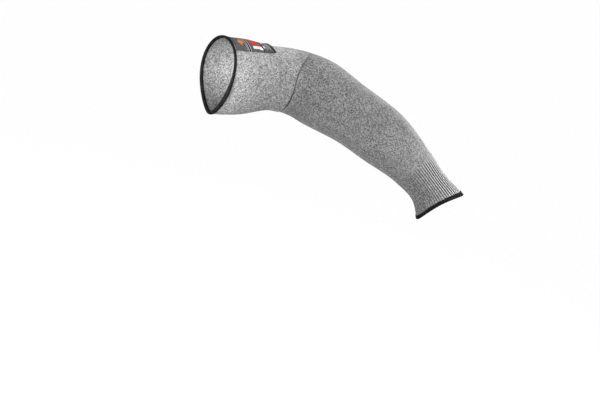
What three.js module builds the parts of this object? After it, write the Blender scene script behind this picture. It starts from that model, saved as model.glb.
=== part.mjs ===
// A cut resistant work sleeve: one tube of knit, filled out as an arm fills it and bent at the elbow.
// The tube is knitted in the round from the mouth to a ribbed cuff. A black overlocked edge closes each
// end, and a printed label is caught at the mouth's edge and lies on top of the upper arm.
//
// Millimetres and degrees, +Z up. The origin is the centre of the mouth, where the upper arm goes in,
// and +X runs from there into the sleeve. The forearm drops and turns towards -Y.
import * as THREE from "three";

// Driving dimensions
const upperArmLength = 150; // mouth to the elbow, along the centreline
const forearmLength = 224; // elbow to the first row of the ribs
const cuffLength = 82; // the ribs, down to the wrist's edge
const knitThickness = 1.6;
const clearance = 0.3; // between any two pieces

const mouth = { height: 117, width: 98 };
const elbow = { height: 104, width: 88 };
const forearm = { height: 97, width: 72 };
const wrist = { height: 63, width: 45 };
const wristMouth = { height: 83, width: 44 };

const upperArmDrop = 13; // the upper arm's slope at the mouth
const elbowDrop = 19; // how much further the forearm drops
const forearmCurl = 31; // and further still at the wrist
const elbowTurn = 30; // how far the forearm turns sideways, towards -Y
const wristArch = 8; // how far the wrist's edge is drawn up between its two corners

const creasePlace = 0.8; // of the elbow's crease, as a share of the upper arm
const foldDepth = 8;
const foldWidth = 10;
const foldStep = 0.6; // the lap's own width, as a share of foldWidth

const ribCount = 48;
const ribDepth = 1.1;
const ribRise = 8; // the stretch over which the ribs come up out of the plain knit

const edgeDepth = 4.5; // how far each overlocked edge reaches over the knit
const edgeWall = 0.8; // the thread's thickness on each face of the knit
const edgeCap = 1.3; // and beyond the knit's cut edge
const edgeRounding = 0.8;

const labelLength = 81;
const labelWidth = 56;
const labelThickness = 0.6;
const labelOffset = 12.5; // how far the label's middle lies round from the top at the mouth, towards -Y
const labelSkew = 9.5; // how far its free end is sewn round towards the top
const labelLift = 2.4; // how far its free end stands off the knit
const labelRows = 8;
const labelColumns = 8;

const cuffStart = upperArmLength + forearmLength;
const sleeveLength = cuffStart + cuffLength;
const arm = { start: 0, length: upperArmLength };
const fore = { start: upperArmLength, length: forearmLength };
const cuff = { start: cuffStart, length: cuffLength };

// The tube's sections. zone and at say where, as a share of that zone's length. height and width are shares
// of the size that the section follows, and drop, curl and turn are shares of those angles. pinch narrows
// the section towards its underside.
const sections = [
  { zone: arm, at: 0, of: mouth, height: 1, width: 1, drop: 0, curl: 0, turn: 0, pinch: 0.48 },
  { zone: arm, at: 0.3, of: mouth, height: 0.95, width: 0.96, drop: -0.35, curl: 0, turn: 0, pinch: 0.3 },
  { zone: arm, at: 0.62, of: mouth, height: 0.84, width: 0.92, drop: -0.38, curl: 0, turn: 0.06, pinch: 0.2 },
  { zone: arm, at: 1, of: elbow, height: 0.98, width: 1, drop: 0.4, curl: 0, turn: 0.62, pinch: 0.1 },
  { zone: fore, at: 0.16, of: elbow, height: 1.02, width: 1, drop: 1, curl: 0, turn: 1, pinch: 0.05 },
  { zone: fore, at: 0.42, of: forearm, height: 0.99, width: 1, drop: 1, curl: 0.06, turn: 1, pinch: 0.05 },
  { zone: fore, at: 0.72, of: forearm, height: 0.95, width: 0.92, drop: 1, curl: 0.28, turn: 1, pinch: 0 },
  { zone: cuff, at: 0, of: wrist, height: 1.16, width: 1.2, drop: 1, curl: 0.54, turn: 1, pinch: 0 },
  { zone: cuff, at: 0.55, of: wrist, height: 1.03, width: 1, drop: 1, curl: 0.74, turn: 1, pinch: 0 },
  { zone: cuff, at: 1, of: wristMouth, height: 1, width: 1, drop: 1, curl: 1, turn: 1, pinch: 0 },
];

// The folds. At each one the knit before it swells by roll and laps over the knit behind it, which dips by
// depth, both as shares of foldDepth. angle is where a fold has its middle, from the top round by the +Y
// side, and reach is how far it runs each way. width is a share of foldWidth. slant and bow are how many
// fold widths it moves along the sleeve from its middle to its end, in a straight line and in a curve.
const folds = [
  { zone: arm, at: creasePlace, angle: 270, reach: 110, roll: 0.4, depth: 0.4, width: 1, slant: 1.6, bow: 3 },
  { zone: arm, at: 0.68, angle: 240, reach: 40, roll: 0.1, depth: 0.15, width: 1.2, slant: -1.2, bow: 0 },
  { zone: arm, at: 0.58, angle: 285, reach: 60, roll: 0.05, depth: 0.1, width: 1, slant: 0, bow: 0 },
];

const radians = THREE.MathUtils.degToRad;
const smooth = (t) => THREE.MathUtils.smoothstep(t, 0, 1);

function stationOf({ zone, at }) {
  return zone.start + at * zone.length;
}

const sectionStations = sections.map(stationOf);

// A column of the section table at any station, as a smooth curve through its rows.
function smoothColumn(values, station) {
  const last = sectionStations.length - 1;
  const clamped = THREE.MathUtils.clamp(station, 0, sleeveLength);
  let i = 0;
  while (i < last - 1 && clamped > sectionStations[i + 1]) i++;
  const slopeAt = (k) => {
    const a = Math.max(k - 1, 0);
    const b = Math.min(k + 1, last);
    return (values[b] - values[a]) / (sectionStations[b] - sectionStations[a]);
  };
  const span = sectionStations[i + 1] - sectionStations[i];
  const t = (clamped - sectionStations[i]) / span;
  const rise = t * t * (3 - 2 * t);
  const startBend = t * (1 - t) * (1 - t) * span * slopeAt(i);
  const endBend = t * t * (t - 1) * span * slopeAt(i + 1);
  return values[i] + rise * (values[i + 1] - values[i]) + startBend + endBend;
}

const slopeOf = ({ drop, curl }) => radians(upperArmDrop + elbowDrop * drop + forearmCurl * curl);
const columns = {
  halfHeight: sections.map((row) => (row.of.height * row.height) / 2),
  halfWidth: sections.map((row) => (row.of.width * row.width) / 2),
  slope: sections.map(slopeOf),
  turn: sections.map((row) => radians(elbowTurn * row.turn)),
  pinch: sections.map((row) => row.pinch),
};

// The directions of a section: along the sleeve, up through it and sideways through it.
function directionsAt(station) {
  const slope = smoothColumn(columns.slope, station);
  const turn = smoothColumn(columns.turn, station);
  const ahead = new THREE.Vector3(Math.cos(turn), -Math.sin(turn), 0);
  return {
    along: ahead.clone().multiplyScalar(Math.cos(slope)).setZ(-Math.sin(slope)),
    up: ahead.clone().multiplyScalar(Math.sin(slope)).setZ(Math.cos(slope)),
    side: new THREE.Vector3(Math.sin(turn), Math.cos(turn), 0),
  };
}

// The centreline, summed up in short steps from the mouth.
const centreSteps = 450;
const centreStep = sleeveLength / centreSteps;
const centrePoints = [new THREE.Vector3()];
for (let i = 0; i < centreSteps; i++) {
  const { along } = directionsAt((i + 0.5) * centreStep);
  centrePoints.push(centrePoints[i].clone().addScaledVector(along, centreStep));
}

function centreAt(station) {
  const i = THREE.MathUtils.clamp(Math.floor(station / centreStep), 0, centreSteps - 1);
  return centrePoints[i].clone().lerp(centrePoints[i + 1], station / centreStep - i);
}

// How far the folds move the knit outwards at a place on the tube.
function foldAt(station, angle) {
  let offset = 0;
  for (const fold of folds) {
    const round = THREE.MathUtils.euclideanModulo(angle - radians(fold.angle), 2 * Math.PI);
    const away = round > Math.PI ? round - 2 * Math.PI : round;
    const share = away / radians(fold.reach);
    if (Math.abs(share) >= 1) continue;
    const across = (station - stationOf(fold)) / foldWidth - (fold.slant + fold.bow * share) * share;
    const behind = smooth(0.5 + across / foldStep);
    const swell = fold.roll * (1 - behind) * Math.exp(-((across / fold.width) ** 2));
    const dip = fold.depth * behind * Math.exp(-((across / fold.width) ** 2));
    offset += foldDepth * Math.cos((share * Math.PI) / 2) ** 2 * (swell - dip);
  }
  return offset;
}

function ribAt(station, share) {
  const rise = smooth((station - cuffStart) / ribRise);
  const end = smooth((sleeveLength - edgeDepth - station) / ribRise);
  return (ribDepth / 2) * rise * end * Math.cos(2 * Math.PI * ribCount * share);
}

// The tube without folds and ribs.
function plainPoint(station, angle) {
  const { along, up, side } = directionsAt(station);
  const low = (1 - Math.cos(angle)) / 2;
  const narrowing = 1 - smoothColumn(columns.pinch, station) * low * low;
  const arch = wristArch * smooth((station - cuffStart) / cuffLength) * Math.sin(angle) ** 2;
  return centreAt(station)
    .addScaledVector(up, smoothColumn(columns.halfHeight, station) * Math.cos(angle))
    .addScaledVector(side, smoothColumn(columns.halfWidth, station) * Math.sin(angle) * narrowing)
    .addScaledVector(along, -arch);
}

// The angle that lies a given share of the girth round from the top, so that the knit is spread evenly.
const girthSamples = 240;
const girthCache = new Map();

function girthAt(station) {
  if (!girthCache.has(station)) {
    const lengths = [0];
    let before = plainPoint(station, 0);
    for (let i = 1; i <= girthSamples; i++) {
      const point = plainPoint(station, (2 * Math.PI * i) / girthSamples);
      lengths.push(lengths[i - 1] + point.distanceTo(before));
      before = point;
    }
    girthCache.set(station, lengths);
  }
  return girthCache.get(station);
}

function angleAt(station, share) {
  const lengths = girthAt(station);
  const wanted = THREE.MathUtils.euclideanModulo(share, 1) * lengths[girthSamples];
  let i = 0;
  while (i < girthSamples - 1 && lengths[i + 1] < wanted) i++;
  return (2 * Math.PI * (i + (wanted - lengths[i]) / (lengths[i + 1] - lengths[i]))) / girthSamples;
}

function outwardOf(pointAt, station, share) {
  const stationStep = 0.5;
  const shareStep = 0.002;
  const a = Math.max(station - stationStep, 0);
  const b = Math.min(station + stationStep, sleeveLength);
  const alongSleeve = pointAt(b, share).sub(pointAt(a, share));
  const round = pointAt(station, share + shareStep).sub(pointAt(station, share - shareStep));
  return alongSleeve.cross(round).normalize();
}

function plainAtShare(station, share) {
  return plainPoint(station, angleAt(station, share));
}

// The knit's outer face, at a share of the girth from the top.
function outerPoint(station, share) {
  const moved = foldAt(station, angleAt(station, share)) + ribAt(station, share);
  return plainAtShare(station, share).addScaledVector(outwardOf(plainAtShare, station, share), moved);
}

// A point at a distance out from the knit's outer face. Past either end it carries straight on.
function pointOn(station, share, out) {
  const inside = THREE.MathUtils.clamp(station, 0, sleeveLength);
  const outward = outwardOf(outerPoint, inside, share);
  const point = outerPoint(inside, share).addScaledVector(outward, out);
  if (station !== inside) {
    const back = inside > 0 ? sleeveLength - edgeDepth : edgeDepth;
    const straight = outerPoint(inside, share).sub(outerPoint(back, share)).normalize();
    point.addScaledVector(straight, Math.abs(station - inside));
  }
  return point;
}

// Joins rings of points into one closed skin, the last ring meeting the first. Where one ring has twice the
// points of the next, three triangles fill each gap.
function skinOf(rings) {
  const starts = [];
  let total = 0;
  for (const ring of rings) {
    starts.push(total);
    total += ring.length;
  }
  const faces = [];
  rings.forEach((ring, r) => {
    const next = (r + 1) % rings.length;
    const nextRing = rings[next];
    const at = (i) => starts[r] + (i % ring.length);
    const nextAt = (i) => starts[next] + (i % nextRing.length);
    for (let i = 0; i < Math.min(ring.length, nextRing.length); i++) {
      if (ring.length === nextRing.length) {
        faces.push(at(i), nextAt(i), at(i + 1));
        faces.push(at(i + 1), nextAt(i), nextAt(i + 1));
      } else if (ring.length < nextRing.length) {
        faces.push(at(i), nextAt(2 * i), nextAt(2 * i + 1));
        faces.push(at(i), nextAt(2 * i + 1), at(i + 1));
        faces.push(at(i + 1), nextAt(2 * i + 1), nextAt(2 * i + 2));
      } else {
        faces.push(at(2 * i), nextAt(i), at(2 * i + 1));
        faces.push(at(2 * i + 1), nextAt(i), nextAt(i + 1));
        faces.push(at(2 * i + 1), nextAt(i + 1), at(2 * i + 2));
      }
    }
  });
  return solidOf(rings.flat(), faces);
}

// A thin plate between two grids of points, with its four sides closed.
function plateOf(upper, under) {
  const rows = upper.length;
  const across = upper[0].length;
  const top = (r, c) => r * across + c;
  const low = (r, c) => rows * across + top(r, c);
  const faces = [];
  const quad = (a, b, c, d) => faces.push(a, b, c, a, c, d);
  for (let r = 0; r < rows - 1; r++) {
    for (let c = 0; c < across - 1; c++) {
      quad(top(r, c), top(r + 1, c), top(r + 1, c + 1), top(r, c + 1));
      quad(low(r, c), low(r, c + 1), low(r + 1, c + 1), low(r + 1, c));
    }
    quad(top(r, 0), low(r, 0), low(r + 1, 0), top(r + 1, 0));
    quad(top(r, across - 1), top(r + 1, across - 1), low(r + 1, across - 1), low(r, across - 1));
  }
  for (let c = 0; c < across - 1; c++) {
    quad(top(0, c), top(0, c + 1), low(0, c + 1), low(0, c));
    quad(top(rows - 1, c), low(rows - 1, c), low(rows - 1, c + 1), top(rows - 1, c + 1));
  }
  return solidOf([...upper.flat(), ...under.flat()], faces);
}

function solidOf(points, faces) {
  const geometry = new THREE.BufferGeometry().setFromPoints(points);
  geometry.setIndex(faces);
  geometry.computeVertexNormals();
  return geometry;
}

function ringOf(station, out, count) {
  return Array.from({ length: count }, (_, i) => pointOn(station, i / count, out));
}

// How many rings each stretch of the tube gets, closer together at the crease and the ends.
const creaseStart = creasePlace * upperArmLength - 1.5 * foldWidth;
const creaseEnd = creasePlace * upperArmLength + 3.5 * foldWidth;
const stretches = [
  { to: edgeDepth, rings: 1 },
  { to: creaseStart, rings: 5 },
  { to: creaseEnd, rings: 14 },
  { to: cuffStart, rings: 8 },
  { to: cuffStart + ribRise, rings: 1 },
  { to: sleeveLength - edgeDepth - ribRise, rings: 3 },
  { to: sleeveLength - edgeDepth, rings: 1 },
  { to: sleeveLength, rings: 1 },
];

function ringStations() {
  const stations = [0];
  for (const { to, rings } of stretches) {
    const from = stations[stations.length - 1];
    for (let i = 1; i <= rings; i++) stations.push(from + ((to - from) * i) / rings);
  }
  return stations;
}

function named(name, geometry, material) {
  const mesh = new THREE.Mesh(geometry, material);
  mesh.name = name;
  return mesh;
}

const melangeKnit = new THREE.MeshStandardMaterial({ color: 0x9c9c9b, roughness: 0.95, metalness: 0 });
const blackThread = new THREE.MeshStandardMaterial({ color: 0x1b1b1c, roughness: 0.8, metalness: 0 });
const darkSatin = new THREE.MeshStandardMaterial({ color: 0x2b2b2e, roughness: 0.5, metalness: 0 });

// The knitted tube: the rings of its outer face, then those of its inner face back to the mouth.
function knitSleeve() {
  const stations = ringStations();
  const countAt = (station) => (station > cuffStart ? 2 * ribCount : ribCount);
  const outer = stations.map((station) => ringOf(station, 0, countAt(station)));
  const inner = stations.map((station) => ringOf(station, -knitThickness, countAt(station)));
  return named("knit_sleeve", skinOf([...outer, ...inner.reverse()]), melangeKnit);
}

// An overlocked edge: a channel of thread that wraps the knit's cut edge, inside and out. Each row of its
// profile is a distance past the cut and one out from the knit's outer face.
function overlockedEdge(name, { cut, outwards }, around) {
  const outerFace = clearance + edgeWall;
  const innerFace = -knitThickness - outerFace;
  const profile = [
    [-edgeDepth, clearance],
    [-edgeDepth, outerFace],
    [0, outerFace],
    [edgeCap - edgeRounding, outerFace],
    [edgeCap, outerFace - edgeRounding],
    [edgeCap, innerFace + edgeRounding],
    [edgeCap - edgeRounding, innerFace],
    [0, innerFace],
    [-edgeDepth, innerFace],
    [-edgeDepth, -knitThickness - clearance],
    [clearance, -knitThickness - clearance],
    [clearance, clearance],
  ];
  const rings = profile.map(([past, out]) => ringOf(cut + outwards * past, out, around));
  return named(name, skinOf(outwards > 0 ? rings : rings.reverse()), blackThread);
}

// The label: a thin satin plate on the knit, from the mouth's edge along the top of the upper arm. Its far
// end stands off the knit.
function label() {
  const faceAt = (out) =>
    Array.from({ length: labelRows + 1 }, (_, r) => {
      const share = r / labelRows;
      const station = edgeDepth + clearance + labelLength * share;
      const girth = girthAt(station)[girthSamples];
      return Array.from({ length: labelColumns + 1 }, (_, c) => {
        const round = labelWidth * (c / labelColumns - 0.5) - labelOffset + labelSkew * share;
        return pointOn(station, round / girth, clearance + labelLift * share ** 4 + out);
      });
    });
  return named("label", plateOf(faceAt(labelThickness), faceAt(0)), darkSatin);
}

const sleeve = new THREE.Group();
sleeve.add(
  knitSleeve(),
  overlockedEdge("mouth_edge", { cut: 0, outwards: -1 }, ribCount),
  overlockedEdge("wrist_edge", { cut: sleeveLength, outwards: 1 }, 2 * ribCount),
  label(),
);

export default sleeve;
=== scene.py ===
# Cut resistant sleeve: the knit, its overlocked edges and its label, with camera, lights and floor.
# Metres, in the CAD frame: +Z up, +X from the mouth into the sleeve, the forearm turning towards -Y.
import math

import bmesh
import bpy
import numpy as np
from mathutils import Matrix, Vector


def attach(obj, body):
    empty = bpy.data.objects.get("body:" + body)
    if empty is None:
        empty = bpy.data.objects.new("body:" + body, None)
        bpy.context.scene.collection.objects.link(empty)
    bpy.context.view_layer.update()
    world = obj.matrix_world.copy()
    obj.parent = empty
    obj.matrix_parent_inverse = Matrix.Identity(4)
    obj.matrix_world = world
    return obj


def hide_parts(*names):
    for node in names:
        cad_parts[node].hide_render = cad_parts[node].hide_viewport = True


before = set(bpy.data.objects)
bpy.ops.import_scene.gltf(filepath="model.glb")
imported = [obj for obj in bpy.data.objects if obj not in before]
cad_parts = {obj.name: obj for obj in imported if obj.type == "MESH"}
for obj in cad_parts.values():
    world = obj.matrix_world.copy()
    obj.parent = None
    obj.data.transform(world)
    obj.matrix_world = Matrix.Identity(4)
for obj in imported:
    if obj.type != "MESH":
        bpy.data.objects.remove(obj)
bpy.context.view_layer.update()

mm = 0.001

# the tube
tube = {
    "upperArmLength": 150 * mm,
    "forearmLength": 224 * mm,
    "cuffLength": 82 * mm,
    "knitThickness": 1.6 * mm,
    "clearance": 0.3 * mm,
    "mouth": (117 * mm, 98 * mm),        # height and width
    "elbow": (104 * mm, 88 * mm),
    "forearm": (97 * mm, 72 * mm),
    "wrist": (63 * mm, 45 * mm),
    "wristMouth": (83 * mm, 44 * mm),
    "upperArmDrop": 13,                   # degrees
    "elbowDrop": 19,
    "forearmCurl": 31,
    "elbowTurn": 30,
    "wristArch": 8 * mm,
}
armStart, foreStart = 0, tube["upperArmLength"]
cuffStart = foreStart + tube["forearmLength"]
sleeveLength = cuffStart + tube["cuffLength"]
zones = {
    "arm": (armStart, tube["upperArmLength"]),
    "fore": (foreStart, tube["forearmLength"]),
    "cuff": (cuffStart, tube["cuffLength"]),
}

# zone, share of its length, the size that the section follows, its height and width as shares of that,
# then shares of the drop, the curl and the turn, and how far the underside is pinched
sections = [
    ("arm", 0.00, "mouth", 1.00, 1.00, 0.00, 0.00, 0.00, 0.48),
    ("arm", 0.30, "mouth", 0.95, 0.96, -0.35, 0.00, 0.00, 0.30),
    ("arm", 0.62, "mouth", 0.84, 0.92, -0.38, 0.00, 0.06, 0.20),
    ("arm", 1.00, "elbow", 0.98, 1.00, 0.40, 0.00, 0.62, 0.10),
    ("fore", 0.16, "elbow", 1.02, 1.00, 1.00, 0.00, 1.00, 0.05),
    ("fore", 0.42, "forearm", 0.99, 1.00, 1.00, 0.06, 1.00, 0.05),
    ("fore", 0.72, "forearm", 0.95, 0.92, 1.00, 0.28, 1.00, 0.00),
    ("cuff", 0.00, "wrist", 1.16, 1.20, 1.00, 0.54, 1.00, 0.00),
    ("cuff", 0.55, "wrist", 1.03, 1.00, 1.00, 0.74, 1.00, 0.00),
    ("cuff", 1.00, "wristMouth", 1.00, 1.00, 1.00, 1.00, 1.00, 0.00),
]

# soft folds: zone, share of its length, angle round from the top by +Y, reach each way, depth, width, slant
folds = [
    ("arm", 0.585, 285, 62, 1.4 * mm, 3.5 * mm, 2 * mm),
    ("arm", 0.49, 234, 20, 2.2 * mm, 6 * mm, 34 * mm),
    ("arm", 0.68, 248, 30, 0.8 * mm, 8 * mm, -14 * mm),
    ("fore", 0.06, 238, 28, 1.0 * mm, 8 * mm, -12 * mm),
    ("fore", 0.24, 300, 70, 0.7 * mm, 16 * mm, 20 * mm),
    ("fore", 0.93, 250, 60, 0.7 * mm, 6 * mm, 8 * mm),
]

# the elbow's crease, where the upper arm's cloth laps over the forearm's
crease = {
    "low": 120 * mm,         # from the mouth, along the lower half
    "rise": 25 * mm,         # further along at the top
    "nearRise": (270, 80),   # where it rises on the near side: from this angle, over so many degrees
    "farRise": (100, 100),   # and on the far side: before this angle
    "starts": (160, 50),     # where it begins low on the far side
    "ends": (360, 45),       # and fades out before the top
    "swell": 2.0 * mm,
    "dip": 1.4 * mm,
    "width": 14 * mm,
    "step": 1.0 * mm,
    "lap": 0.8 * mm,
    "lapBack": 2.2 * mm,     # of its middle, before the line
    "lapWidth": 2.4 * mm,
    "cleft": 1.0 * mm,
    "cleftPast": 0.9 * mm,
    "cleftWidth": 1.3 * mm,
}

sectionStations = np.array([zones[row[0]][0] + row[1] * zones[row[0]][1] for row in sections])
halfHeights = np.array([tube[row[2]][0] * row[3] / 2 for row in sections])
halfWidths = np.array([tube[row[2]][1] * row[4] / 2 for row in sections])
slopes = np.radians([tube["upperArmDrop"] + tube["elbowDrop"] * row[5] + tube["forearmCurl"] * row[6]
                     for row in sections])
turns = np.radians([tube["elbowTurn"] * row[7] for row in sections])
pinches = np.array([row[8] for row in sections])


def smoothColumn(values, stations):
    last = len(sectionStations) - 1
    stations = np.clip(stations, 0, sleeveLength)
    i = np.clip(np.searchsorted(sectionStations, stations) - 1, 0, last - 1)
    before, after = np.maximum(np.arange(last + 1) - 1, 0), np.minimum(np.arange(last + 1) + 1, last)
    bend = (values[after] - values[before]) / (sectionStations[after] - sectionStations[before])
    span = sectionStations[i + 1] - sectionStations[i]
    t = (stations - sectionStations[i]) / span
    rise = t * t * (3 - 2 * t)
    startBend = t * (1 - t) ** 2 * span * bend[i]
    endBend = t * t * (t - 1) * span * bend[i + 1]
    return values[i] + rise * (values[i + 1] - values[i]) + startBend + endBend


def directionsAt(stations):
    slope, turn = smoothColumn(slopes, stations), smoothColumn(turns, stations)
    along = np.stack([np.cos(turn) * np.cos(slope), -np.sin(turn) * np.cos(slope), -np.sin(slope)], -1)
    up = np.stack([np.cos(turn) * np.sin(slope), -np.sin(turn) * np.sin(slope), np.cos(slope)], -1)
    side = np.stack([np.sin(turn), np.cos(turn), np.zeros_like(turn)], -1)
    return along, up, side


centreSteps = 450
stepLength = sleeveLength / centreSteps
stepDirections = directionsAt((np.arange(centreSteps) + 0.5) * stepLength)[0]
centrePoints = np.vstack([np.zeros(3), np.cumsum(stepDirections * stepLength, axis=0)])
centreStations = np.arange(centreSteps + 1) * stepLength


def centreAt(stations):
    return np.stack([np.interp(stations, centreStations, centrePoints[:, k]) for k in range(3)], -1)


def smoothStep(t):
    t = np.clip(t, 0, 1)
    return t * t * (3 - 2 * t)


# a share that grows from a limit on, one that fades out up to it, and one that is highest at a middle
def growAfter(values, limit, span):
    return smoothStep((values - limit) / span)


def fadeBefore(values, limit, span):
    return smoothStep((limit - values) / span)


def bell(values, middle, width):
    return np.exp(-(((values - middle) / width) ** 2))


def plainPoint(stations, angles):
    along, up, side = directionsAt(stations)
    low = (1 - np.cos(angles)) / 2
    narrowing = 1 - smoothColumn(pinches, stations) * low * low
    height = smoothColumn(halfHeights, stations) * np.cos(angles)
    width = smoothColumn(halfWidths, stations) * np.sin(angles) * narrowing
    arch = tube["wristArch"] * smoothStep((stations - cuffStart) / tube["cuffLength"]) * np.sin(angles) ** 2
    return centreAt(stations) + up * height[..., None] + side * width[..., None] - along * arch[..., None]


# the angle for each share of the girth, so that the stitches are spread evenly round the tube
shareSteps = np.linspace(0, 1, 241)
rowSteps = np.linspace(0, sleeveLength, 228)
angleSteps = np.linspace(0, 2 * math.pi, 481)
angleGrid = []
for rowStation in rowSteps:
    ring = plainPoint(np.full(len(angleSteps), rowStation), angleSteps)
    lengths = np.concatenate([[0], np.cumsum(np.linalg.norm(np.diff(ring, axis=0), axis=1))])
    angleGrid.append(np.interp(shareSteps * lengths[-1], lengths, angleSteps))
angleGrid = np.array(angleGrid)


def angleAt(stations, shares):
    turnsDone = np.floor(shares)
    column = (shares - turnsDone) * (len(shareSteps) - 1)
    row = np.clip(stations / sleeveLength, 0, 1) * (len(rowSteps) - 1)
    c, r = np.minimum(column.astype(int), len(shareSteps) - 2), np.minimum(row.astype(int), len(rowSteps) - 2)
    fc, fr = column - c, row - r
    low = angleGrid[r, c] * (1 - fc) + angleGrid[r, c + 1] * fc
    high = angleGrid[r + 1, c] * (1 - fc) + angleGrid[r + 1, c + 1] * fc
    return low * (1 - fr) + high * fr + 2 * math.pi * turnsDone


# relief of the knit
relief = {
    "ribCount": 48,
    "ribDepth": 2.6 * mm,
    "ribSharpness": 0.6,
    "ribRise": 8 * mm,
    "ribClearest": 0.92,     # share of the girth where the ribs are deepest and their painted highlight and shade show most
    "ribNarrowness": 3,      # how soon they fade round the tube from there
    "ribFaint": 0.2,         # their depth on the opposite side, as a share of the full depth
    "edgeDepth": 4.5 * mm,
}


def foldAt(stations, angles):
    offset = np.zeros_like(stations)
    for zone, at, around, reach, depth, width, slant in folds:
        middle = zones[zone][0] + at * zones[zone][1]
        away = (angles - math.radians(around) + math.pi) % (2 * math.pi) - math.pi
        share = np.clip(away / math.radians(reach), -1, 1)
        across = (stations - middle - slant * share) / width
        offset -= depth * np.cos(share * math.pi / 2) ** 2 * np.exp(-across ** 2)
    return offset


# the crease's line along the sleeve, and its strength, at each angle
def creaseLine(angles):
    turned = np.degrees(angles) % 360
    nearRise, farRise = growAfter(turned, *crease["nearRise"]), fadeBefore(turned, *crease["farRise"])
    strength = growAfter(turned, *crease["starts"]) * fadeBefore(turned, *crease["ends"])
    return crease["low"] + crease["rise"] * np.where(turned > 180, nearRise, farRise), strength


def creaseAt(stations, angles):
    line, strength = creaseLine(angles)
    across = stations - line
    behind = smoothStep(0.5 + across / crease["step"])
    step = crease["swell"] * (1 - behind) - crease["dip"] * behind
    cleft = crease["cleft"] * bell(across, crease["cleftPast"], crease["cleftWidth"])
    lap = crease["lap"] * bell(across, -crease["lapBack"], crease["lapWidth"]) * (1 - behind)
    lifted = bell(across, 0, crease["width"]) * step - cleft
    return strength * lifted, strength * lap


# where the knit is painted darker: painted shade in the bottom of the crease and along a soft fold line on
# the upper arm, and the dark fuzz beside the mouth's edge; angles are in degrees, round from the top by +Y
shadeAndFuzzPaint = {
    "crease": 0.85,              # painted shade: how dark the crease's bottom is painted
    "creaseWidth": 5.5 * mm,
    "creaseBlur": 2.2 * mm,
    "wider": 0.4,                # by this share low down
    "widerBefore": (265, 40),
    "faded": 0.55,               # by this share higher up
    "fadedAfter": (270, 50),
    # painted shade along the soft fold on the upper arm
    "line": 0.25,
    "lineStation": 89 * mm,
    "lineWidth": 2.2 * mm,
    "lineMiddle": 283,
    "lineReach": (32, 12),       # each way from its middle, and how softly it ends
    "fuzz": (0.25, 0.6),         # all round, and added low down
    "fuzzReach": 8 * mm,
    "fuzzLeast": 0.35,           # of that reach, away from the low part
    "fuzzMiddle": 243,
    "fuzzSpread": 22,
}


# painted shade in the crease and along the fold line, and the dark fuzz beside the mouth's edge, on the
# knit's points
def shadeAndFuzzAt(stations, shares):
    angles = angleAt(stations, shares)
    turned = np.degrees(angles) % 360
    line, strength = creaseLine(angles)
    past = stations - line
    width = shadeAndFuzzPaint["creaseWidth"] * (1 + shadeAndFuzzPaint["wider"] * fadeBefore(turned, *shadeAndFuzzPaint["widerBefore"]))
    faded = 1 - shadeAndFuzzPaint["faded"] * growAfter(turned, *shadeAndFuzzPaint["fadedAfter"])
    inside = smoothStep(past / mm + 0.5) * fadeBefore(past, width, shadeAndFuzzPaint["creaseBlur"])
    inCrease = shadeAndFuzzPaint["crease"] * faded * strength * inside
    inReach = fadeBefore(np.abs(turned - shadeAndFuzzPaint["lineMiddle"]), *shadeAndFuzzPaint["lineReach"])
    inLine = shadeAndFuzzPaint["line"] * inReach * bell(stations, shadeAndFuzzPaint["lineStation"], shadeAndFuzzPaint["lineWidth"])
    low = bell(turned, shadeAndFuzzPaint["fuzzMiddle"], shadeAndFuzzPaint["fuzzSpread"])
    reach = shadeAndFuzzPaint["fuzzReach"] * (shadeAndFuzzPaint["fuzzLeast"] + low)
    least, added = shadeAndFuzzPaint["fuzz"]
    inFuzz = (least + added * low) * fadeBefore(stations, edge["depth"] + reach, reach)
    return np.maximum(np.maximum(inCrease, inLine), inFuzz)


def ribAt(stations, shares):
    rise = smoothStep((stations - cuffStart) / relief["ribRise"])
    end = smoothStep((sleeveLength - relief["edgeDepth"] - stations) / relief["ribRise"])
    wave = 0.5 + 0.5 * np.cos(2 * math.pi * relief["ribCount"] * shares)
    near = (0.5 + 0.5 * np.cos(2 * math.pi * (shares - relief["ribClearest"]))) ** relief["ribNarrowness"]
    depth = relief["ribDepth"] * (relief["ribFaint"] + (1 - relief["ribFaint"]) * near)
    return depth * rise * end * (wave ** relief["ribSharpness"] - 0.5)


def outwardOf(pointAt, stations, shares):
    stationStep, shareStep = 0.5 * mm, 0.002
    first, second = np.maximum(stations - stationStep, 0), np.minimum(stations + stationStep, sleeveLength)
    alongSleeve = pointAt(second, shares) - pointAt(first, shares)
    around = pointAt(stations, shares + shareStep) - pointAt(stations, shares - shareStep)
    outward = np.cross(alongSleeve, around)
    return outward / np.linalg.norm(outward, axis=-1, keepdims=True)


def plainAtShare(stations, shares):
    return plainPoint(stations, angleAt(stations, shares))


def outerPoint(stations, shares):
    angles = angleAt(stations, shares)
    lifted, lap = creaseAt(stations, angles)
    moved = foldAt(stations, angles) + ribAt(stations, shares) + lifted
    outward = outwardOf(plainAtShare, stations, shares) * moved[..., None]
    return plainAtShare(stations, shares) + outward + directionsAt(stations)[0] * lap[..., None]


# a point at a distance out from the knit's outer face, carried straight on past either end
def onKnit(stations, shares, out):
    given = [np.asarray(values, dtype=float) for values in (stations, shares, out)]
    stations, shares, out = np.broadcast_arrays(*given)
    inside = np.clip(stations, 0, sleeveLength)
    base = outerPoint(inside, shares)
    points = base + outwardOf(outerPoint, inside, shares) * out[..., None]
    back = np.where(inside > sleeveLength / 2, sleeveLength - relief["edgeDepth"], relief["edgeDepth"])
    straight = base - outerPoint(back, shares)
    straight /= np.linalg.norm(straight, axis=-1, keepdims=True) + 1e-12
    return points + straight * np.abs(stations - inside)[..., None]


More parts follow.
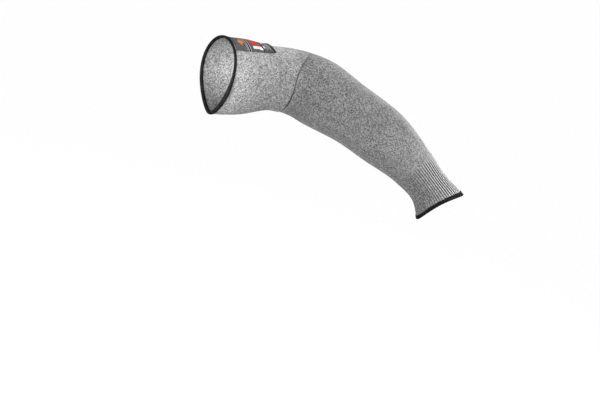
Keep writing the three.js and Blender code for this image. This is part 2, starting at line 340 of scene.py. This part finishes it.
# helpers for meshes
# a grid of faces laid over a surface: place gives the points and spread the UV, both from shares across
# and along
def wrapGrid(name, across, along, place, spread, shadeAndFuzz=None):
    bm = bmesh.new()
    uvLayer = bm.loops.layers.uv.new("surface")
    # an optional layer for the knit's painted shade and dark fuzz
    shadeAndFuzzLayer = bm.verts.layers.float.new("shadeAndFuzz") if shadeAndFuzz else None
    bmesh.ops.create_grid(bm, x_segments=across, y_segments=along, size=0.5)
    bm.verts.index_update()
    flat = np.array([vert.co[:2] for vert in bm.verts]) + 0.5
    points, uvs = place(flat[:, 0], flat[:, 1]), spread(flat[:, 0], flat[:, 1])
    for vert in bm.verts:
        vert.co = points[vert.index]
    if shadeAndFuzz:
        for vert, amount in zip(bm.verts, shadeAndFuzz(flat[:, 0], flat[:, 1])):
            vert[shadeAndFuzzLayer] = amount
    for face in bm.faces:
        for loop in face.loops:
            loop[uvLayer].uv = uvs[loop.vert.index]
    bmesh.ops.remove_doubles(bm, verts=bm.verts, dist=1e-6)
    bmesh.ops.reverse_faces(bm, faces=bm.faces)
    return finishMesh(name, bm)


def ownShares(u, v):
    return np.stack([u, v], -1)


def finishMesh(name, bm):
    mesh = bpy.data.meshes.new(name)
    bm.to_mesh(mesh)
    bm.free()
    mesh.shade_smooth()
    piece = bpy.data.objects.new(name, mesh)
    bpy.context.scene.collection.objects.link(piece)
    return piece


# the knit
knit = {
    "columns": 288,          # 6 to a rib
    "rows": 168,
    "wales": 192,            # stitches round the tube, 4 to a rib
    "courses": 330,          # rows of stitches along it
    "followWhole": 12 * mm,  # rows this near the crease's middle follow its line in full
    "followReach": 50 * mm,  # and those further away than this don't
    "flatWidth": 2 * 0.13,   # of the slack tube, opened out
    "flatArea": 0.104,
}
# rows of faces between the mouth and each place before or past the crease's middle, close together there
rowPlaces = [(22, -50 * mm), (42, -9 * mm), (84, 9 * mm), (104, 55 * mm)]
creaseMiddle = crease["low"] + crease["rise"] / 2


def knitStation(rowShares, shares):
    rows = [0] + [row for row, place in rowPlaces] + [knit["rows"]]
    places = [0] + [creaseMiddle + place for row, place in rowPlaces] + [sleeveLength]
    straight = np.interp(rowShares * knit["rows"], rows, places)
    line = creaseLine(angleAt(straight, shares))[0]
    followSpan = knit["followReach"] - knit["followWhole"]
    follow = fadeBefore(np.abs(straight - creaseMiddle), knit["followReach"], followSpan)
    return straight + (line - creaseMiddle) * follow


def makeSleeve():
    def place(u, v):
        return onKnit(knitStation(v, u), u, 0.0)

    def spread(u, v):
        return np.stack([u, knitStation(v, u) / sleeveLength], -1)

    # painted shade in the crease and fold line, and the dark fuzz by the mouth
    def shadeAndFuzz(u, v):
        return shadeAndFuzzAt(knitStation(v, u), u)

    piece = wrapGrid("knitTube", knit["columns"], knit["rows"], place, spread, shadeAndFuzz)
    wall = piece.modifiers.new("wall", "SOLIDIFY")
    wall.thickness = tube["knitThickness"]
    wall.offset = -1
    return piece


# the overlocked edges
edge = {
    "depth": 3.8 * mm,
    "wall": 0.45 * mm,
    "gap": 0.12 * mm,
    "cap": 0.8 * mm,
    "rounding": 0.5 * mm,
    "threadRadius": 0.4 * mm,
    "threadOut": 0.1 * mm,       # its middle line, past the band's faces
    "threadTuck": 0.2 * mm,      # where it dips into the knit and where it bulges round the cut edge
    "threadBend": 0.3 * mm,
    "stitchLength": 1.9 * mm,
    "mouthDepth": 2.6 * mm,
    "hemDepth": 5.6 * mm,        # of the wrist's edge
    "wideDepth": 2.6 * mm,       # added low on the mouth's near side
    "widest": 0.62,              # where, as a share of the girth
    "wideSpread": 0.1,
    "mouthColumns": 192,
    "wristColumns": 144,
}


# the channel's profile: distance past the cut edge as a share of the depth, past it in metres, and out
# from the knit's outer face
def edgeProfile():
    outer = edge["gap"] + edge["wall"]
    inner = -tube["knitThickness"] - outer
    cap, rounding = edge["cap"], edge["rounding"]
    return np.array([
        (-1, 0, edge["gap"]),
        (-1, 0, outer * 0.7),
        (-0.85, 0, outer),
        (0, 0, outer),
        (0, cap - rounding, outer),
        (0, cap - 0.3 * rounding, outer - 0.35 * rounding),
        (0, cap, outer - rounding),
        (0, cap, inner + rounding),
        (0, cap - 0.3 * rounding, inner + 0.35 * rounding),
        (0, cap - rounding, inner),
        (0, 0, inner),
        (-0.85, 0, inner),
        (-1, 0, inner + 0.3 * edge["wall"]),
        (-1, 0, -tube["knitThickness"] - edge["gap"]),
        (0, edge["gap"], -tube["knitThickness"] - edge["gap"]),
        (0, edge["gap"], edge["gap"]),
        (-1, 0, edge["gap"]),
    ])


# how deep each edge reaches over the knit's outer face, round the sleeve
def mouthDepth(shares):
    return edge["mouthDepth"] + edge["wideDepth"] * bell(shares % 1, edge["widest"], edge["wideSpread"])


def wristDepth(shares):
    return edge["hemDepth"] + 0 * shares


def makeEdge(name, cut, outwards, columns, depthAt):
    profile = edgeProfile()
    steps = np.linspace(0, 1, len(profile))

    def place(u, v):
        share, past, out = (np.interp(v, steps, profile[:, k]) for k in range(3))
        depth = np.where(out > -tube["knitThickness"] / 2, depthAt(u), edge["depth"])
        return onKnit(cut + outwards * (past + share * depth), u, out)

    piece = wrapGrid(name, columns, len(profile) - 1, place, ownShares)
    bm = bmesh.new()
    bm.from_mesh(piece.data)
    bmesh.ops.recalc_face_normals(bm, faces=bm.faces)
    bm.to_mesh(piece.data)
    bm.free()
    return piece


# the looper thread: over the outer face, round the cut edge, over the inner face and back, by the same three
# measures as the channel's profile
def makeThread(name, cut, outwards, depthAt):
    girth = np.linalg.norm(np.diff(onKnit(cut, np.linspace(0, 1, 400), 0), axis=0), axis=1).sum()
    stitches = round(girth / edge["stitchLength"])
    outer = edge["gap"] + edge["wall"] + edge["threadOut"]
    inner = -tube["knitThickness"] - outer
    crossing = np.array([
        (-1.03, 0, outer - edge["threadTuck"]),
        (-0.5, 0, outer + edge["threadOut"]),
        (0, edge["cap"] - edge["threadBend"], outer),
        (0, edge["cap"] + edge["threadTuck"], (outer + inner) / 2),
        (0, edge["cap"] - edge["threadBend"], inner),
        (-0.5, 0, inner - edge["threadOut"]),
        (-1.03, 0, inner + edge["threadTuck"]),
    ])
    there = len(crossing)
    order = list(range(there)) + list(range(there - 2, 0, -1))
    shares = np.arange(stitches * len(order)) / (stitches * len(order))
    rows = crossing[np.tile(order, stitches)]
    depth = np.where(rows[:, 2] > -tube["knitThickness"] / 2, depthAt(shares), edge["depth"])
    points = onKnit(cut + outwards * (rows[:, 1] + rows[:, 0] * depth), shares, rows[:, 2])
    curve = bpy.data.curves.new(name, "CURVE")
    curve.dimensions = "3D"
    curve.bevel_depth = edge["threadRadius"]
    curve.bevel_resolution = 1
    spline = curve.splines.new("POLY")
    spline.points.add(len(points) - 1)
    for point, place in zip(spline.points, points):
        point.co = (*place, 1)
    spline.use_cyclic_u = True
    holder = bpy.data.objects.new(name, curve)
    mesh = bpy.data.meshes.new_from_object(holder)
    bpy.data.objects.remove(holder)
    bpy.data.curves.remove(curve)
    mesh.name = name
    mesh.shade_smooth()
    piece = bpy.data.objects.new(name, mesh)
    bpy.context.scene.collection.objects.link(piece)
    return piece


# the label
label = {
    "length": 81 * mm,
    "width": 56 * mm,
    "thickness": 0.6 * mm,
    "offset": 12.5 * mm,
    "skew": 9.5 * mm,        # how far its free end lies round towards the top
    "lift": 2.4 * mm,        # of its free end
    "puff": 1.6 * mm,        # of its middle
    "columns": 112,
    "rows": 144,
    "girthSteps": 64,        # to measure the knit's girth under it
}
# plain blocks of print: ink, then where each lies across the label and along it, as shares
labelPrint = [
    ("end", 0.0, 1.0, 0.950, 1.0),
    ("grey", 0.0, 1.0, 0.300, 0.308),
    ("white", 0.0, 1.0, 0.330, 0.342),
    ("end", 0.0, 1.0, 0.345, 0.385),
    ("grey", 0.0, 1.0, 0.392, 0.402),
    ("end", 0.0, 1.0, 0.405, 0.425),
    ("end", 0.0, 0.8, 0.715, 0.745),
    ("red", 0.22, 0.62, 0.46, 0.67),
    ("white", 0.09, 0.19, 0.48, 0.70),
    ("white", 0.06, 0.13, 0.64, 0.72),
    ("white", 0.36, 0.46, 0.77, 0.82),
    ("white", 0.14, 0.24, 0.76, 0.79),
    ("grey", 0.10, 0.30, 0.82, 0.835),
    ("grey", 0.40, 0.60, 0.84, 0.855),
    ("grey", 0.64, 0.80, 0.81, 0.83),
    ("grey", 0.14, 0.56, 0.87, 0.885),
    ("grey", 0.10, 0.70, 0.905, 0.915),
]
lozenge = {"middle": (0.33, 0.205), "halfSize": (0.15, 0.085)}     # across and along


def inkAt(u, v):
    for ink, left, right, near, far in labelPrint:
        if left <= u <= right and near <= v <= far:
            return ink
    (middleU, middleV), (halfU, halfV) = lozenge["middle"], lozenge["halfSize"]
    if abs(u - middleU) / halfU + abs(v - middleV) / halfV <= 1:
        return "orange"
    return "satin"


def makeLabel(inks):
    def place(u, v):
        stations = relief["edgeDepth"] + tube["clearance"] + label["length"] * v
        ringShares = np.linspace(0, 1, label["girthSteps"] + 1)
        ring = plainAtShare(*np.broadcast_arrays(stations[:, None], ringShares[None, :]))
        girth = np.linalg.norm(np.diff(ring, axis=1), axis=2).sum(1)
        around = (label["width"] * (u - 0.5) - label["offset"] + label["skew"] * v) / girth
        puff = label["puff"] * np.sin(math.pi * v) ** 2 * np.sin(math.pi * u)
        lift = label["lift"] * v ** 4
        return onKnit(stations, around, tube["clearance"] + label["thickness"] + lift + puff)

    piece = wrapGrid("labelPlate", label["columns"], label["rows"], place, ownShares)
    for material in inks.values():
        piece.data.materials.append(material)
    names = list(inks)
    uvs = piece.data.uv_layers["surface"].data
    for face in piece.data.polygons:
        u, v = (sum(uvs[i].uv[k] for i in face.loop_indices) / len(face.loop_indices) for k in (0, 1))
        face.material_index = names.index(inkAt(u, v))
    wall = piece.modifiers.new("wall", "SOLIDIFY")
    wall.thickness = label["thickness"]
    wall.offset = -1
    return piece


# materials
def newMaterial(name):
    material = bpy.data.materials.new(name)
    material.use_nodes = True
    nodes = material.node_tree.nodes
    nodes.clear()
    output = nodes.new("ShaderNodeOutputMaterial")
    shader = nodes.new("ShaderNodeBsdfPrincipled")
    material.node_tree.links.new(shader.outputs[0], output.inputs[0])
    return material, shader


# a maths node fed with other nodes' outputs or plain numbers
def calc(tree, operation, *values):
    node = tree.nodes.new("ShaderNodeMath")
    node.operation = operation
    for socket, value in zip(node.inputs, values):
        if isinstance(value, (int, float)):
            socket.default_value = value
        else:
            tree.links.new(value, socket)
    return node.outputs[0]


def joined(tree, x, y, z=0.0):
    node = tree.nodes.new("ShaderNodeCombineXYZ")
    for socket, value in zip(node.inputs, (x, y, z)):
        if isinstance(value, (int, float)):
            socket.default_value = value
        else:
            tree.links.new(value, socket)
    return node.outputs[0]


# two coordinates, each times its own scale
def scaledAxes(tree, across, along, scales):
    return joined(tree, calc(tree, "MULTIPLY", across, scales[0]), calc(tree, "MULTIPLY", along, scales[1]))


# nothing up to the first limit and all from the second
def stepAt(tree, value, limits):
    return rampOf(tree, value, [(limits[0], 0.0), (limits[1], 1.0)])


def surfaceAxes(tree):
    source = tree.nodes.new("ShaderNodeUVMap")
    source.uv_map = "surface"
    parts = tree.nodes.new("ShaderNodeSeparateXYZ")
    tree.links.new(source.outputs[0], parts.inputs[0])
    return parts.outputs[0], parts.outputs[1]


def noiseAt(tree, vector, scale, detail=2.0, roughness=0.5):
    node = tree.nodes.new("ShaderNodeTexNoise")
    node.inputs["Scale"].default_value = scale
    node.inputs["Detail"].default_value = detail
    node.inputs["Roughness"].default_value = roughness
    tree.links.new(vector, node.inputs["Vector"])
    return node.outputs["Fac"]


def randomAt(tree, vector):
    node = tree.nodes.new("ShaderNodeTexWhiteNoise")
    node.noise_dimensions = "3D"
    tree.links.new(vector, node.inputs["Vector"])
    return node.outputs["Value"]


def rampOf(tree, value, stops):
    node = tree.nodes.new("ShaderNodeValToRGB")
    tree.links.new(value, node.inputs[0])
    band = node.color_ramp
    while len(band.elements) < len(stops):
        band.elements.new(0.5)
    for element, (place, tone) in zip(band.elements, stops):
        element.position = place
        element.color = (*tone, 1) if hasattr(tone, "__len__") else (tone, tone, tone, 1)
    return node.outputs[0]


def blended(tree, share, first, second, way="MIX"):
    node = tree.nodes.new("ShaderNodeMix")
    node.data_type = "RGBA"
    node.blend_type = way
    for socket, value in ((node.inputs[0], share), (node.inputs[6], first), (node.inputs[7], second)):
        if isinstance(value, (int, float)):
            socket.default_value = value
        elif isinstance(value, tuple):
            socket.default_value = (*value, 1)
        else:
            tree.links.new(value, socket)
    return node.outputs[2]


def bumped(tree, shader, height, distance, strength):
    node = tree.nodes.new("ShaderNodeBump")
    node.inputs["Distance"].default_value = distance
    node.inputs["Strength"].default_value = strength
    tree.links.new(height, node.inputs["Height"])
    tree.links.new(node.outputs[0], shader.inputs["Normal"])


# the melange yarn: tones from its dark plies to its white ones, and how they run along each course
melange = {
    "tones": [(0.22, 0.045), (0.37, 0.11), (0.50, 0.165), (0.63, 0.225), (0.80, 0.31)],
    "wanderScale": (30, 40),     # how the stitches stray, round the tube and along it
    "wander": (0.5, 0.8),        # by how much of a stitch
    "slant": 1.3,                # of a stitch's legs
    "streak": 1.7,               # stitches to a streak of one tone
    "streakShare": 0.48,         # the rest of the tone differs from stitch to stitch
    "rowShift": 90,              # how far the streaks are shifted from course to course, in streaks
    "rowApart": 7.3,
    # painted shade on the forearm, which faces away from the lights
    "forearmShade": 0.63,
    "forearmFrom": (0.262, 0.312),   # shares of the length where it sets in
    "ribsFrom": (0.822, 0.842),      # and where the cuff's ribs do
    "ribPaint": (0.88, 0.12),    # how strongly the ribs' painted highlight and shade show where they are clearest, and all round
    "valleyShadeTone": 0.02,          # painted shade between the cuff's ribs
    "valleyWidth": 0.65,         # a power: the lower, the wider
    "crestHighlightTone": 0.43,           # painted highlight along their tops
    "crestShare": 0.8,           # how far that tone evens out the yarn's own
    "broadScale": (9, 14),       # of the faint patches
    "broadTones": (0.9, 1.0),
    "shadeAndFuzzTone": 0.012,
    "fibreScale": 3,             # to a stitch
    "fibreRelief": 0.5,
    "relief": 0.45 * mm,
    "reliefStrength": 0.9,
    "roughness": (0.75, 0.95),
    "sheen": 0.08,
    "sheenRoughness": 0.5,
    "specular": 0.25,
}


def greyOf(name):
    return (melange[name],) * 3


def makeMelange():
    material, shader = newMaterial("melangeKnit")
    tree = material.node_tree
    u, v = surfaceAxes(tree)
    wander = noiseAt(tree, scaledAxes(tree, u, v, melange["wanderScale"]), 1.0, 1.0)
    strayAcross, strayAlong = (calc(tree, "MULTIPLY", wander, share) for share in melange["wander"])
    wale = calc(tree, "ADD", calc(tree, "MULTIPLY", u, knit["wales"]), strayAcross)
    course = calc(tree, "ADD", calc(tree, "MULTIPLY", v, knit["courses"]), strayAlong)
    fromMiddle = calc(tree, "ABSOLUTE", calc(tree, "SUBTRACT", calc(tree, "FRACT", wale), 0.5))
    slanted = calc(tree, "MULTIPLY_ADD", fromMiddle, melange["slant"], course)
    row, stitch = calc(tree, "FLOOR", slanted), calc(tree, "FLOOR", wale)

    # the yarn's tones
    rowStart = calc(tree, "MULTIPLY", randomAt(tree, joined(tree, row, 3.5)), melange["rowShift"])
    along = calc(tree, "MULTIPLY_ADD", wale, 1 / melange["streak"], rowStart)
    streak = noiseAt(tree, joined(tree, along, calc(tree, "MULTIPLY", row, melange["rowApart"])), 1.0, 1.0)
    speck = randomAt(tree, joined(tree, stitch, row, 1.5))
    speckPart = calc(tree, "MULTIPLY", speck, 1 - melange["streakShare"])
    fleck = calc(tree, "MULTIPLY_ADD", streak, melange["streakShare"], speckPart)
    tones = rampOf(tree, fleck, melange["tones"])

    # painted shade: the forearm is painted darker than the upper arm, as it faces away from the lights
    lower = stepAt(tree, v, melange["forearmFrom"])
    tones = blended(tree, lower, tones, blended(tree, 1.0, tones, greyOf("forearmShade"), "MULTIPLY"))

    # the cuff's ribs: a painted highlight along their tops where they face the light, and painted shade in
    # the valleys between them
    inCuff = stepAt(tree, v, melange["ribsFrom"])
    away = calc(tree, "MULTIPLY", calc(tree, "SUBTRACT", u, relief["ribClearest"]), 2 * math.pi)
    facing = calc(tree, "MULTIPLY_ADD", calc(tree, "COSINE", away), 0.5, 0.5)
    near = calc(tree, "POWER", facing, relief["ribNarrowness"])
    ribbed = calc(tree, "MULTIPLY", inCuff, calc(tree, "MULTIPLY_ADD", near, *melange["ribPaint"]))
    turn = calc(tree, "MULTIPLY", u, 2 * math.pi * relief["ribCount"])
    valley = calc(tree, "MULTIPLY_ADD", calc(tree, "COSINE", turn), -0.5, 0.5)
    valley = calc(tree, "MULTIPLY", calc(tree, "POWER", valley, melange["valleyWidth"]), ribbed)
    lit = calc(tree, "MULTIPLY", calc(tree, "MULTIPLY", ribbed, near), melange["crestShare"])
    tones = blended(tree, lit, tones, greyOf("crestHighlightTone"))
    tones = blended(tree, valley, tones, blended(tree, 1.0, tones, greyOf("valleyShadeTone"), "MULTIPLY"))

    # faint patches, then the painted shade in the crease and along the fold line, and the dark fuzz by the
    # mouth
    broad = noiseAt(tree, scaledAxes(tree, u, v, melange["broadScale"]), 1.0)
    faint, plain = melange["broadTones"]
    tones = blended(tree, 1.0, tones, rampOf(tree, broad, [(0.3, faint), (0.7, plain)]), "MULTIPLY")
    shadeAndFuzz = tree.nodes.new("ShaderNodeAttribute")
    shadeAndFuzz.attribute_name = "shadeAndFuzz"
    tones = blended(tree, shadeAndFuzz.outputs["Fac"], tones, greyOf("shadeAndFuzzTone"))
    tree.links.new(tones, shader.inputs["Base Color"])

    # the stitches stand up as pairs of slanted legs
    legAcross = calc(tree, "MULTIPLY_ADD", calc(tree, "FRACT", calc(tree, "MULTIPLY", wale, 2)), 2, -1)
    legAlong = calc(tree, "MULTIPLY_ADD", calc(tree, "FRACT", slanted), 2, -1)
    roundAcross = calc(tree, "SUBTRACT", 1, calc(tree, "MULTIPLY", legAcross, legAcross))
    roundAlong = calc(tree, "SUBTRACT", 1, calc(tree, "MULTIPLY", legAlong, legAlong))
    height = calc(tree, "MULTIPLY", roundAcross, calc(tree, "MULTIPLY_ADD", roundAlong, 0.6, 0.4))
    fibres = noiseAt(tree, scaledAxes(tree, wale, slanted, [melange["fibreScale"]] * 2), 1.0)
    height = calc(tree, "MULTIPLY_ADD", fibres, melange["fibreRelief"], height)
    bumped(tree, shader, height, melange["relief"], melange["reliefStrength"])
    smoothest, roughest = melange["roughness"]
    roughness = rampOf(tree, fibres, [(0.2, smoothest), (0.8, roughest)])
    tree.links.new(roughness, shader.inputs["Roughness"])
    shader.inputs["Sheen Weight"].default_value = melange["sheen"]
    shader.inputs["Sheen Roughness"].default_value = melange["sheenRoughness"]
    shader.inputs["Specular IOR Level"].default_value = melange["specular"]
    return material


# twisted black thread, on the object's own coordinates
thread = {
    "tones": [(0.35, 0.0025), (0.5, 0.005), (0.66, 0.0175)],
    "plies": 1400,               # scales of its twist and of its worn patches
    "patches": 160,
    "twist": 0.15 * mm,
    "twistStrength": 0.8,
    "roughness": (0.55, 0.8),
    "sheenRoughness": 0.4,
}
# grazing shine is kept low on all that is black
dull = {"sheen": 0.01, "ior": 1.12}


def makeThreadMaterial():
    material, shader = newMaterial("blackThread")
    tree = material.node_tree
    source = tree.nodes.new("ShaderNodeTexCoord").outputs["Object"]
    plies = noiseAt(tree, source, thread["plies"])
    patches = noiseAt(tree, source, thread["patches"])
    mixed = calc(tree, "MULTIPLY_ADD", patches, 0.5, calc(tree, "MULTIPLY", plies, 0.5))
    tones = rampOf(tree, mixed, thread["tones"])
    tree.links.new(tones, shader.inputs["Base Color"])
    bumped(tree, shader, plies, thread["twist"], thread["twistStrength"])
    smoothest, roughest = thread["roughness"]
    roughness = rampOf(tree, patches, [(0.3, smoothest), (0.7, roughest)])
    tree.links.new(roughness, shader.inputs["Roughness"])
    shader.inputs["Sheen Weight"].default_value = dull["sheen"]
    shader.inputs["Sheen Roughness"].default_value = thread["sheenRoughness"]
    shader.inputs["IOR"].default_value = dull["ior"]
    return material


# woven satin with fine ribs across it, plain or inked
satin = {
    "threads": (150, 190),       # across the label and along it
    "weave": (0.3, 0.5),         # how high each way's threads stand
    "weaveTone": 0.12,
    "wornScale": (7, 30),
    "wornTone": (0.5, 0.2),      # how far wear changes the tone, and the least of it
    "tones": (0.6, 1.5),         # darkest and lightest, as shares of the colour
    "relief": 0.08 * mm,
    "reliefStrength": 0.6,
    "roughnessRange": 0.1,
}
# name of the material, colour and roughness of each ink
inkLooks = {
    "satin": ("labelSatin", (0.029, 0.029, 0.031), 0.55),
    "end": ("labelEnd", (0.003, 0.003, 0.003), 0.7),
    "white": ("whiteInk", (0.30, 0.30, 0.30), 0.6),
    "grey": ("greyInk", (0.2, 0.2, 0.2), 0.6),
    "red": ("redInk", (0.19, 0.010, 0.010), 0.6),
    "orange": ("orangeInk", (0.22, 0.070, 0.012), 0.6),
}


def makeSatin(name, colour, roughness):
    material, shader = newMaterial(name)
    tree = material.node_tree
    u, v = surfaceAxes(tree)
    warp, weft = (calc(tree, "SINE", calc(tree, "MULTIPLY", axis, 2 * math.pi * count))
                  for axis, count in zip((u, v), satin["threads"]))
    warpHeight, weftHeight = satin["weave"]
    weave = calc(tree, "MULTIPLY_ADD", warp, warpHeight, calc(tree, "MULTIPLY", weft, weftHeight))
    worn = noiseAt(tree, scaledAxes(tree, u, v, satin["wornScale"]), 1.0, 4.0, 0.6)
    shade = calc(tree, "MULTIPLY_ADD", weave, satin["weaveTone"],
                 calc(tree, "MULTIPLY_ADD", worn, *satin["wornTone"]))
    dark, light = (tuple(part * share for part in colour) for share in satin["tones"])
    tree.links.new(rampOf(tree, shade, [(0.3, dark), (0.6, light)]), shader.inputs["Base Color"])
    bumped(tree, shader, weave, satin["relief"], satin["reliefStrength"])
    smoothest, roughest = roughness - satin["roughnessRange"], roughness + satin["roughnessRange"]
    tree.links.new(rampOf(tree, worn, [(0.3, smoothest), (0.7, roughest)]), shader.inputs["Roughness"])
    shader.inputs["Sheen Weight"].default_value = dull["sheen"]
    shader.inputs["IOR"].default_value = dull["ior"]
    return material


# the floor's paper, with a faint grain
paper = {
    "grain": 60,
    "tones": (0.965, 0.985),
    "roughness": 0.9,
    "specular": 0.1,
    "radius": 40,
    "sides": 96,
    "height": -0.75,
}


def makePaper():
    material, shader = newMaterial("paleFloor")
    tree = material.node_tree
    source = tree.nodes.new("ShaderNodeTexCoord").outputs["Object"]
    grain = noiseAt(tree, source, paper["grain"], 3.0)
    darkest, lightest = paper["tones"]
    tree.links.new(rampOf(tree, grain, [(0.3, darkest), (0.7, lightest)]), shader.inputs["Base Color"])
    shader.inputs["Roughness"].default_value = paper["roughness"]
    shader.inputs["Specular IOR Level"].default_value = paper["specular"]
    return material


# camera, lights and floor
view = {
    "azimuth": -37,
    "elevation": 12,
    "image": (600, 400),
    "pixel": 1.483 * mm,            # one of the image's, at the sleeve
    "mouthPixel": (216.3, 74.8),    # where the mouth's centre is in the image
    "lens": 85,
    "sensor": 36,
}


def viewDirections():
    a, e = math.radians(view["azimuth"]), math.radians(view["elevation"])
    back = Vector((math.sin(a) * math.cos(e), -math.cos(a) * math.cos(e), math.sin(e)))
    right = Vector((math.cos(a), math.sin(a), 0))
    return right, back.cross(right), back


def makeCamera():
    right, up, back = viewDirections()
    across, down = (size / 2 - mouth for size, mouth in zip(view["image"], view["mouthPixel"]))
    aim = right * across * view["pixel"] - up * down * view["pixel"]
    distance = view["image"][0] * view["pixel"] * view["lens"] / view["sensor"]
    camera = bpy.data.objects.new("camera", bpy.data.cameras.new("camera"))
    camera.data.lens = view["lens"]
    camera.data.sensor_width = view["sensor"]
    turn = Matrix((right, up, back)).transposed().to_4x4()
    camera.matrix_world = Matrix.Translation(aim + back * distance) @ turn
    bpy.context.scene.collection.objects.link(camera)
    bpy.context.scene.camera = camera


# each light: its kind, the way it lies from its target in right, up and back of the view, where along the
# sleeve the target is, distance, size, watts and the spread of its beam in degrees
lights = {
    "rimRight": ("AREA", (0.70, 0.42, -0.72), 330 * mm, 1.6, 0.5, 2.6, 40),
    "frontRight": ("AREA", (0.62, 0.50, 0.70), 70 * mm, 2.0, 0.9, 6.9, 50),
    "forearmFill": ("SPOT", (-0.75, -0.25, 0.60), 345 * mm, 1.5, 0.15, 245, 9),
    "cuffLamp": ("SPOT", (0.90, 0.34, 0.26), 415 * mm, 1.2, 0.03, 104, 11),
    "mouthLamp": ("SPOT", (-0.44, -0.12, 0.88), 0, 0.9, 0.04, 530, 4.7),
}
spotSoftness = 0.6
skyStrength = 1.02


def makeLights():
    right, up, back = viewDirections()
    for name, (kind, way, station, distance, size, watts, spread) in lights.items():
        lamp = bpy.data.lights.new(name, kind)
        lamp.energy = watts
        if kind == "AREA":
            lamp.shape = "DISK"
            lamp.size = size
            lamp.spread = math.radians(spread)
        else:
            lamp.shadow_soft_size = size
            lamp.spot_size = math.radians(spread)
            lamp.spot_blend = spotSoftness
        direction = (right * way[0] + up * way[1] + back * way[2]).normalized()
        holder = bpy.data.objects.new(name, lamp)
        holder.location = Vector(centreAt(np.array(station))) + direction * distance
        holder.rotation_euler = direction.to_track_quat("Z", "Y").to_euler()
        bpy.context.scene.collection.objects.link(holder)
    world = bpy.data.worlds.new("studio")
    world.use_nodes = True
    background = world.node_tree.nodes["Background"]
    background.inputs["Color"].default_value = (1, 1, 1, 1)
    background.inputs["Strength"].default_value = skyStrength
    bpy.context.scene.world = world
    bpy.context.scene.view_settings.view_transform = "Standard"


def makeFloor():
    bm = bmesh.new()
    bmesh.ops.create_circle(bm, cap_ends=True, radius=paper["radius"], segments=paper["sides"])
    bmesh.ops.translate(bm, verts=bm.verts, vec=(0, 0, paper["height"]))
    floor = finishMesh("studioFloor", bm)
    floor.data.materials.append(makePaper())


# making it all
makeCamera()
makeLights()
makeFloor()
print("stage ready")

sleevePiece = makeSleeve()
print("knit ready")
mouthBand = makeEdge("mouthBand", 0, -1, edge["mouthColumns"], mouthDepth)
mouthThread = makeThread("mouthThread", 0, -1, mouthDepth)
wristBand = makeEdge("wristBand", sleeveLength, 1, edge["wristColumns"], wristDepth)
wristThread = makeThread("wristThread", sleeveLength, 1, wristDepth)
print("edges ready")
labelPiece = makeLabel({ink: makeSatin(*look) for ink, look in inkLooks.items()})
print("label ready")

knitGrey = makeMelange()
threadBlack = makeThreadMaterial()
for piece, material, slot, node in (
    (sleevePiece, knitGrey, "melange_knit", "knit_sleeve"),
    (mouthBand, threadBlack, "black_thread", "mouth_edge"),
    (mouthThread, threadBlack, "black_thread", "mouth_edge"),
    (wristBand, threadBlack, "black_thread", "wrist_edge"),
    (wristThread, threadBlack, "black_thread", "wrist_edge"),
    (labelPiece, None, "dark_satin", "label"),
):
    if material:
        piece.data.materials.append(material)
    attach(piece, "root")
    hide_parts(node)
